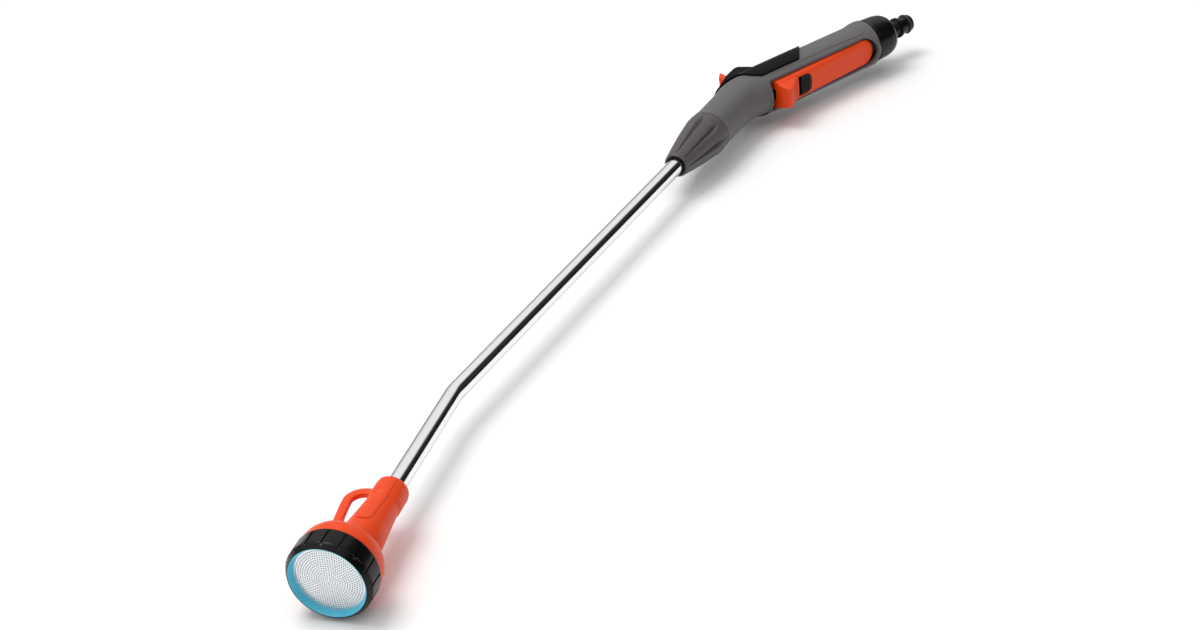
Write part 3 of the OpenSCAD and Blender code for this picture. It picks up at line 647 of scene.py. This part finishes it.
# ---- Flow lever ----
# An orange thumb tab on the regulator plug's cross pin. It leans back at rest and stands out of
# the hump; its top is scooped and ribs on its front face give the thumb a hold.
LEVER_LEAN = math.radians(-18)
LEVER_HALF = 8 * MM
LEVER_EDGE = 1.1 * MM
LEVER_RIB_HALF = 6.4 * MM
LEVER_RIB_PITCH = 2.6
LEVER_RIB_EDGE = 0.25 * MM
ARM_INNER = 6.3 * MM
ARM_EDGE = 0.3 * MM
EYE_RADIUS = 5.0 * MM
SCOOP_RADIUS = 9.2
SCOOP_CENTRE = -44.5
SCOOP_REACH = 6 * MM
LEVER_SIDE = ((-3.0, -11.5), (-2.6, -24), (-2.2, -31), (-2.0, -37.2), (-0.9, -39.6),
              (0.6, -39.6), (1.7, -37.4), (2.2, -31), (2.6, -24), (3.0, -11.5))
LEVER_RIB = ((1.6, -36.6), (2.75, -36.1), (2.75, -35.3), (1.6, -34.8))
lever_place = Matrix.Translation(LEVER_PIVOT) @ Matrix.Rotation(LEVER_LEAN, 4, "Z")
lever_outline = rounded([(x * MM, y * MM) for x, y in LEVER_SIDE], 1.5 * MM, 3)
lever_shape = prism(lever_outline, -LEVER_HALF, LEVER_HALF, LEVER_EDGE, lever_place)
lever = made("flow_lever_skin", lever_shape, orange)
for k in range(4):
    rib = rounded([(x * MM, (y + LEVER_RIB_PITCH * k) * MM) for x, y in LEVER_RIB], 0.3 * MM, 2)
    rib_shape = prism(rib, -LEVER_RIB_HALF, LEVER_RIB_HALF, LEVER_RIB_EDGE, lever_place)
    combine(lever, made("rib", rib_shape, orange), "UNION")
eye = circle(EYE_RADIUS, 40)
cheek = oblong(-3.0 * MM, 3.0 * MM, 0, -14 * MM)
for side in (-1, 1):
    low, high = sorted((side * ARM_INNER, side * LEVER_HALF))
    combine(lever, made("eye", prism(eye, low, high, ARM_EDGE, lever_place), orange), "UNION")
    combine(lever, made("cheek", prism(cheek, low, high, ARM_EDGE, lever_place), orange), "UNION")
crisp(lever, 34)
scoop = [(x * MM, (y + SCOOP_CENTRE) * MM) for x, y in circle(SCOOP_RADIUS, 48)]
across_lever = lever_place @ Matrix.Rotation(math.pi / 2, 4, "Y")
combine(lever, made("scoop", prism(scoop, -SCOOP_REACH, SCOOP_REACH, 0, across_lever), orange))
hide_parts("flow_lever")
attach(lever, "flow_lever")

# ---- End cap ----
# A cap of satin black plastic, screwed on to the grip's back end. It holds the spigot's flange
# against its gasket.


def turned(outline, place=Matrix(), steps=96, radius=0.0):
    """A bmesh lathe piece about X: outline of (station, radius, corner) points in millimetres."""
    points = rounded(outline, radius) if radius else [Vector(p[:2]) for p in outline]
    shape = bmesh.new()
    verts = [shape.verts.new((p.x * MM, max(p.y, 0) * MM, 0)) for p in points]
    edges = [shape.edges.new((a, b)) for a, b in zip(verts, verts[1:] + verts[:1])]
    bmesh.ops.spin(shape, geom=verts + edges, cent=(0, 0, 0), axis=(1, 0, 0), angle=2 * math.pi,
                   steps=steps, use_merge=True, use_duplicate=False)
    bmesh.ops.remove_doubles(shape, verts=shape.verts, dist=1e-6)
    bmesh.ops.dissolve_degenerate(shape, dist=1e-7, edges=shape.edges)
    bmesh.ops.transform(shape, matrix=place, verts=shape.verts)
    return shape


cap_profile = [
    (28.2, 7.4, 0.1), (28.2, 12.8, 1.2), (29.9, 15.8, 3), (33.2, 17.3, 3), (37.6, 18.05, 3),
    (51.2, 18.7, 0.3), (51.6, 18.35, 0.2), (52.3, 18.35, 0.2), (52.7, 18.75, 0.2),
    (54.1, 18.75, 0.3), (54.1, 16.2, 0.1), (32.1, 16.2, 0.1), (32.1, 7.4, 0.1)]
cap = made("end_cap_skin", turned(cap_profile, steps=128, radius=0.4), black)
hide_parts("end_cap")
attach(cap, "handle")

# ---- Hose spigot ----
# A quick-connect nipple of satin black plastic, with an O-ring near its tip and a claw ring
# behind. The end cap holds its flange in the grip.
spigot_profile = [
    (0.1, 4.6, 0.6), (0.1, 7.1, 0.5), (3.2, 7.2, 0.25), (3.2, 6.0, 0.15), (5.8, 6.0, 0.15),
    (5.8, 7.2, 0.3), (12.6, 7.2, 0.8), (13.6, 8.7, 0.3), (15.6, 8.7, 0.4), (16.7, 6.6, 0.8),
    (26.0, 6.6, 1.2), (27.4, 7.2, 0.3), (32.1, 7.2, 0.1), (32.1, 15.4, 0.3), (34.9, 15.4, 0.3),
    (34.9, 8.0, 0.2), (43.9, 8.0, 0.3), (43.9, 4.6, 0.3)]
spigot = made("hose_spigot_skin", turned(spigot_profile, steps=96, radius=0.3), black)
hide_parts("hose_spigot")
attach(spigot, "handle")

# ---- Collar nut ----
# A dark grey plastic clamping nut that screws on to the lance socket and squeezes the collet.
# The pointed flutes down its taper give the fingers a hold.
neck_place = Matrix.Translation((BEND_X, 0, 0)) @ Matrix.Rotation(NECK_ANGLE, 4, "Z")
FLUTES = 8
FLUTE_START = 67.5
FLUTE_END = 118.8
FLUTE_WIDTH = 0.20
FLUTE_DEPTH = 12
FLUTE_LEAST = 0.02
FLUTE_WIDENS = 7
FLUTE_TAPER_END = 124
FLUTE_TAPER = 46
FLUTE_RUN_OUT = 4
# Stations along the neck and radii, in mm.
COLLAR_SECTIONS = ((60.4, 16.2), (61.0, 17.0), (62.0, 17.5), (68.0, 17.45), (69.0, 17.2),
                   (85, 15.3), (104, 12.3), (117.5, 9.9), (119.2, 9.6), (120.0, 9.0))
collar_grey = finish("dark_grey_plastic", (0.085, 0.076, 0.078), 0.46, grain=0.015,
                     grain_size=0.4, shine=0.35)


def ramp(value):
    """The value held between 0 and 1."""
    return min(max(value, 0), 1)


def straight(stops, at):
    """The value at a place among (place, value) stops, in straight lines from stop to stop."""
    for low, high in zip(stops, stops[1:]):
        if at <= high[0]:
            return low[1] + (high[1] - low[1]) * (at - low[0]) / (high[0] - low[0])
    return stops[-1][1]


def collar_ring(s):
    """One section of the collar nut, with V-shaped flutes that widen, then narrow to its mouth."""
    base = straight(COLLAR_SECTIONS, s)
    widening = ramp((s - FLUTE_START) / FLUTE_WIDENS)
    narrowing = ramp((FLUTE_TAPER_END - s) / FLUTE_TAPER)
    width = FLUTE_WIDTH * widening * narrowing + FLUTE_LEAST
    depth = FLUTE_DEPTH * width * ramp((FLUTE_END - s) / FLUTE_RUN_OUT)
    ring = []
    for k in range(256):
        angle = 2 * math.pi * k / 256
        swing = (angle * FLUTES / (2 * math.pi) + 0.5) % 1 - 0.5
        dip = ramp(1.1 * (1 - abs(swing) / width))
        r = (base - depth * dip) * MM
        ring.append(neck_place @ Vector((s * MM, r * math.cos(angle), r * math.sin(angle))))
    return ring


collar_stations = [60.4, 60.7, 61.0, 61.5, 62.0, 65, 68.0, 68.5, 69.0]
collar_stations += [69 + 1.5 * k for k in range(1, 33)] + [118.2, 118.8, 119.2, 119.7, 120.0]
collar_rings = [collar_ring(s) for s in collar_stations]
collar = made("collar_nut_skin", skin(collar_rings), collar_grey, 28)
bore = [(59, 0), (59, 11.9), (84, 11.9), (84, 9.8), (97, 9.8), (97, 8.2), (121, 8.2), (121, 0)]
combine(collar, made("bore", turned(bore, neck_place), collar_grey))
crisp(collar, 28)
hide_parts("collar_nut")
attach(collar, "collar")

# ---- Collar bush ----
# A black plastic bush that lines the collar nut's mouth, where the lance leaves it. It turns
# with the nut and closes the gap round the tube.
bush_profile = [(106, 6.56), (119.4, 6.56, 0.5), (119.4, 8.2, 0.3), (106, 8.2)]
bush = made("collar_bush_skin", turned(bush_profile, neck_place, 96, 0.05), black)
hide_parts("collar_bush")
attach(bush, "collar")

# ---- Lance ----
# A drawn and polished aluminium tube, bent near its far end. The collet clamps it in the grip,
# and its far end sits in the shower head's cuff.
TUBE_R = 6.5 * MM
TUBE_WALL = 1 * MM
TUBE_START = 44.2 * MM
BEND_S = 454.6 * MM
LANCE_BEND = math.radians(10.35)
LANCE_END = 105.8 * MM
HEAD_PLUG = 26 * MM
LANCE_BEND_R = 45 * MM
head_place = (neck_place @ Matrix.Translation((BEND_S, 0, 0)) @ Matrix.Rotation(LANCE_BEND, 4, "Z")
              @ Matrix.Translation((LANCE_END, 0, 0)))
bend_leg = LANCE_BEND_R * math.tan(LANCE_BEND / 2)
tube_run = BEND_S - bend_leg - TUBE_START
lance_path = [neck_place @ Vector((TUBE_START + tube_run * k / 40, 0, 0)) for k in range(41)]
bend_centre = neck_place @ Vector((BEND_S - bend_leg, LANCE_BEND_R, 0))
for k in range(1, 12):
    angle = NECK_ANGLE + LANCE_BEND * k / 12
    lance_path.append(bend_centre + LANCE_BEND_R * Vector((math.sin(angle), -math.cos(angle), 0)))
tube_end = LANCE_END - bend_leg + HEAD_PLUG
lance_path += [head_place @ Vector((-LANCE_END + bend_leg + tube_end * k / 10, 0, 0)) for k in range(11)]
bore_start = lance_path[0] - 2 * (lance_path[1] - lance_path[0])
bore_end = lance_path[-1] + 0.2 * (lance_path[-1] - lance_path[-2])
bore_path = [bore_start] + lance_path + [bore_end]
TUBE_POINTS = 64
SIDE_UP = Vector((0, 0, 1))
polished = finish("polished_aluminium", (0.86, 0.87, 0.87), 0.11, grain=0.004, grain_size=0.6,
                  metal=1.0, mottle=0.02)
lance_bar = swept(lance_path, circle(TUBE_R, TUBE_POINTS), SIDE_UP)
tube = made("lance_tube_skin", lance_bar, polished, 40)
lance_bore = swept(bore_path, circle(TUBE_R - TUBE_WALL, TUBE_POINTS), SIDE_UP)
combine(tube, made("bore", lance_bore, polished))
crisp(tube, 40)
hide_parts("lance_tube")
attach(tube, "lance")

# ---- Shower head body ----
# One orange moulding: a cuff that grips the lance, a neck that widens into a bell set off the
# lance's line, and a strap on one side to hang the wand up by.
ROSE_OFFSET = 4.2 * MM
TONGUE_RISE = 0.55
TONGUE_INNER = 4 * MM
TONGUE_OUTER = 20 * MM
STRAP_CURL = 10.0
# Stations along the head and radii, in mm.
HEAD_SECTIONS = (
    (0, 8.3), (0.5, 9.5), (1.5, 10.3), (4, 10.85), (17, 10.9), (17.9, 10.75), (18.6, 10.35),
    (30, 11.3), (45, 12.8), (54, 13.8), (58, 14.6), (60, 16.6), (61.5, 19.2), (63.6, 21.9),
    (66, 24.0), (69.5, 25.6), (73.5, 26.3), (77.2, 26.4), (77.4, 25.2), (84, 25.2))
rose_place = head_place @ Matrix.Translation((0, -ROSE_OFFSET, 0))


def head_ring(s):
    """One section of the head body, its centre easing over to the rose's axis."""
    shift = between(((0, 0.0), (50, 0.0), (63, 1.0), (95, 1.0)), s)[0] * ROSE_OFFSET
    outline = circle(straight(HEAD_SECTIONS, s) * MM, 128)
    return [head_place @ Vector((s * MM, y - shift, z)) for y, z in outline]


def tongue_ring(s):
    """One section of the raised tongues, a little outside the head body."""
    outline = circle((straight(HEAD_SECTIONS, s) + TONGUE_RISE) * MM, 96)
    return [head_place @ Vector((s * MM, y, z)) for y, z in outline]


between_stops = {20, 24, 36, 50, 52, 56, 57, 59, 60.7, 62.5, 64.8, 67.5, 71.5, 75.5}
head_stations = sorted({s for s, r in HEAD_SECTIONS} | between_stops)
head = made("head_body_skin", skin([head_ring(s) for s in head_stations]), orange, 40)
strap_line = [(7, -6.0), (7, -10), (7, -13.4)]
for k in range(10):
    angle = math.radians(180 + 83 * k / 9)
    strap_line.append((17.0 + STRAP_CURL * math.cos(angle), -13.6 + STRAP_CURL * math.sin(angle)))
strap_line += [(18.3 + 41.7 * k / 10, -23.55 + 5.6 * k / 10) for k in range(1, 11)]
strap_path = [head_place @ Vector((s * MM, t * MM, 0)) for s, t in strap_line]
strap_section = rounded(oblong(-2.85 * MM, 2.85 * MM, -1.95 * MM, 1.95 * MM), 1.1 * MM, 4)
strap_bar = swept(strap_path, [(p.x, p.y) for p in strap_section], SIDE_UP)
combine(head, made("strap", strap_bar, orange), "UNION")
tongue_corners = [(3.5 * MM, -5.6 * MM, 1.2 * MM), (47.5 * MM, -5.6 * MM, 5 * MM),
                  (47.5 * MM, 5.0 * MM, 5 * MM), (3.5 * MM, 5.0 * MM, 1.2 * MM)]
tongue_outline = rounded(tongue_corners, 2 * MM, 8)
tongue_rings = [tongue_ring(s) for s in (2.5, 4, 10, 17, 17.9, 18.6, 24, 30, 36, 45, 50)]
for side in (-1, 1):
    tongue = made("tongue", skin(tongue_rings), orange)
    low, high = sorted((side * TONGUE_INNER, side * TONGUE_OUTER))
    tongue_trim = made("tongue_trim", prism(tongue_outline, low, high, 0, head_place), orange)
    combine(tongue, tongue_trim, "INTERSECT")
    combine(head, tongue, "UNION")
throat = [(-1, 0), (-1, 6.53), (26, 6.53), (26, 5), (70, 5), (70, 0)]
combine(head, made("throat", turned(throat, head_place, 96), orange))
bell_hollow = [(63, 0), (63, 9), (64.5, 16), (68.5, 21), (73, 22.6), (86, 23.2), (86, 0)]
combine(head, made("bell_hollow", turned(bell_hollow, rose_place, 96), orange))
crisp(head, 34)
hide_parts("head_body")
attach(head, "lance")

# ---- Bezel ring ----
# A black ring that screws on to the bell and holds the rose in. Sixteen notches round its edge
# give the fingers a hold.
BEZEL_NOTCHES = 16
NOTCH_DEPTH = 0.85
NOTCH_FROM = 0.84
NOTCH_EASE = 0.05
BAND_START = 79.0
BAND_END = 91.9
RUN_IN = 0.7
RUN_OUT = 2.2


def bezel_ring(s, radius):
    """One section of the bezel, with the notches cut into its straight band."""
    ring = []
    for k in range(384):
        angle = 2 * math.pi * k / 384
        swing = abs((angle * BEZEL_NOTCHES / (2 * math.pi)) % 1 - 0.5) * 2
        dip = ramp((swing - NOTCH_FROM) / NOTCH_EASE)
        dip = dip * dip * (3 - 2 * dip) * ramp((s - BAND_START) / RUN_IN) * ramp((BAND_END - s) / RUN_OUT)
        r = (radius - NOTCH_DEPTH * dip) * MM
        ring.append(rose_place @ Vector((s * MM, r * math.cos(angle), r * math.sin(angle))))
    return ring


bezel_stops = [
    (77.7, 25.5), (77.72, 26.4), (78.0, 26.85), (78.5, 27.05), (79.0, 27.05), (79.35, 27.05),
    (79.7, 27.05), (83, 27.05), (87, 27.05), (89.7, 27.05), (90.2, 27.0), (90.7, 26.8),
    (91.3, 26.4), (91.9, 26.0), (93.3, 25.05), (93.75, 24.75), (93.95, 24.5)]
bezel = made("bezel_ring_skin", skin([bezel_ring(s, r) for s, r in bezel_stops]), black, 35)
bezel_bore = [(77, 0), (77, 25.3), (88, 25.3), (88, 24.46), (95, 24.46), (95, 0)]
combine(bezel, made("bore", turned(bezel_bore, rose_place, 128), black))
crisp(bezel, 35)
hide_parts("bezel_ring")
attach(bezel, "bezel")

# ---- Rose rim ----
# A cyan-blue plastic ring that slopes in from the bezel's edge to the rose and clamps its
# flange. The bezel holds it down, and it turns with the lance.
blue = finish("cyan_blue_plastic", (0.09, 0.56, 0.76), 0.34, grain=0.006, grain_size=0.5,
              mottle=0.03, shine=0.4)
rim_profile = [(85.6, 22.05), (85.6, 25.0), (87.8, 25.0), (87.8, 24.36), (93.6, 24.36, 0.5),
               (93.95, 23.9, 0.3), (90.0, 22.05, 0.4)]
rim = made("rose_rim_skin", turned(rim_profile, rose_place, 128, 0.15), blue)
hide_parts("rose_rim")
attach(rim, "lance")

# ---- Rose plate ----
# A pressed stainless steel disc, slightly domed, with rings of fine spray holes. Each hole was
# punched from behind, so it stands up in a tiny nipple. The dark inside of each hole is painted
# shade: a flat grey disc set in the nipple's mouth.
ROSE_RINGS = 14
ROSE_PITCH = 1.46
ROSE_R = 22.0
DOME_EDGE = 90.0
DOME_RISE = 1.4
SHEET = 0.8
NIPPLE_BASE = 0.5 * MM
NIPPLE_TIP = 0.34 * MM
NIPPLE_HEIGHT = 0.3 * MM
NIPPLE_LIFT = 0.05 * MM
HOLE_SHADE_RADIUS = 0.33 * MM
HOLE_SHADE_LIFT = 0.14 * MM
bright = finish("bright_steel", (0.80, 0.81, 0.82), 0.26, grain=0.004, grain_size=0.5,
                metal=0.85, mottle=0.03)
# Painted shade: the grey of the discs that stand for the dark insides of the spray holes.
shadow = finish("hole_shadow", (0.14, 0.14, 0.15), 0.6)


def dome(r):
    """Station of the rose's outer face at radius r, in millimetres."""
    return DOME_EDGE + DOME_RISE * (1 - (r / ROSE_R) ** 2)


rose_outline = [(dome(ROSE_R * k / 16), ROSE_R * k / 16) for k in range(17)]
rose_outline += [(85.5, ROSE_R), (85.5, 25.0), (84.75, 25.0), (84.75, 21.2), (88.9, 21.2)]
rose_outline += [(dome(r) - SHEET, r) for r in (18, 12, 6, 0)]
rose_shape = turned(rose_outline, Matrix(), 128)
# Flat discs of painted shade, one in each nipple's mouth, where the hole would look dark.
hole_shade_discs = bmesh.new()
for ring_number in range(1, ROSE_RINGS + 1):
    r = ROSE_PITCH * ring_number
    holes = 6 * ring_number
    for k in range(holes):
        angle = 2 * math.pi * (k + 0.5 * (ring_number % 2)) / holes
        foot = Matrix.Translation((dome(r) * MM, r * MM * math.cos(angle), r * MM * math.sin(angle)))
        at = foot @ Matrix.Rotation(math.radians(90), 4, "Y")
        bmesh.ops.create_cone(rose_shape, cap_ends=False, segments=10, radius1=NIPPLE_BASE,
                              radius2=NIPPLE_TIP, depth=NIPPLE_HEIGHT,
                              matrix=at @ Matrix.Translation((0, 0, NIPPLE_LIFT)))
        bmesh.ops.create_circle(hole_shade_discs, cap_ends=True, segments=10, radius=HOLE_SHADE_RADIUS,
                                matrix=at @ Matrix.Translation((0, 0, HOLE_SHADE_LIFT)))
bmesh.ops.transform(rose_shape, matrix=rose_place, verts=rose_shape.verts)
bmesh.ops.transform(hole_shade_discs, matrix=rose_place, verts=hole_shade_discs.verts)
rose = made("rose_plate_skin", rose_shape, bright, 40)
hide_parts("rose_plate")
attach(rose, "lance")
# The discs carry painted shade in place of the open holes.
hole_shade_piece = made("rose_hole_shade", hole_shade_discs, shadow)
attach(hole_shade_piece, "lance")

# ---- Inner works ----
# Valve, regulator, socket, seals, spring and screws keep their working shapes and only need
# their finishes: glass-filled plastic, acetal, rubber, steel and aluminium.
inner_finishes = {
    "inner_plastic": finish("glass_filled_plastic", (0.11, 0.11, 0.12), 0.5, grain=0.02, grain_size=0.3),
    "acetal": finish("natural_acetal", (0.70, 0.69, 0.64), 0.35, grain=0.004, grain_size=0.5),
    "seal_rubber": finish("black_seal_rubber", (0.012, 0.012, 0.012), 0.5, grain=0.01, grain_size=0.4),
    "steel": finish("bright_wire_steel", (0.56, 0.56, 0.57), 0.25, grain=0.006,
                    grain_size=0.3, metal=1.0),
    "aluminium": finish("turned_aluminium", (0.75, 0.75, 0.76), 0.28, grain=0.006,
                        grain_size=0.3, metal=1.0),
}
inner_nodes = {
    "inner_plastic": ("valve_body", "valve_plug", "regulator_body", "lance_socket"),
    "acetal": ("inlet_filter", "valve_gland", "clamp_collet", "regulator_plug", "spray_diffuser"),
    "seal_rubber": ("spigot_o_ring", "inlet_gasket", "stem_seal", "socket_o_rings", "valve_washer",
                    "plug_o_rings", "head_o_ring", "rose_gasket"),
    "steel": ("shell_screws", "trigger_pin", "valve_stem", "valve_spring"),
    "aluminium": ("tube_ferrule",),
}
for slot_name, names in inner_nodes.items():
    for name in names:
        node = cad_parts[name]
        node.data.materials.clear()
        node.data.materials.append(inner_finishes[slot_name])
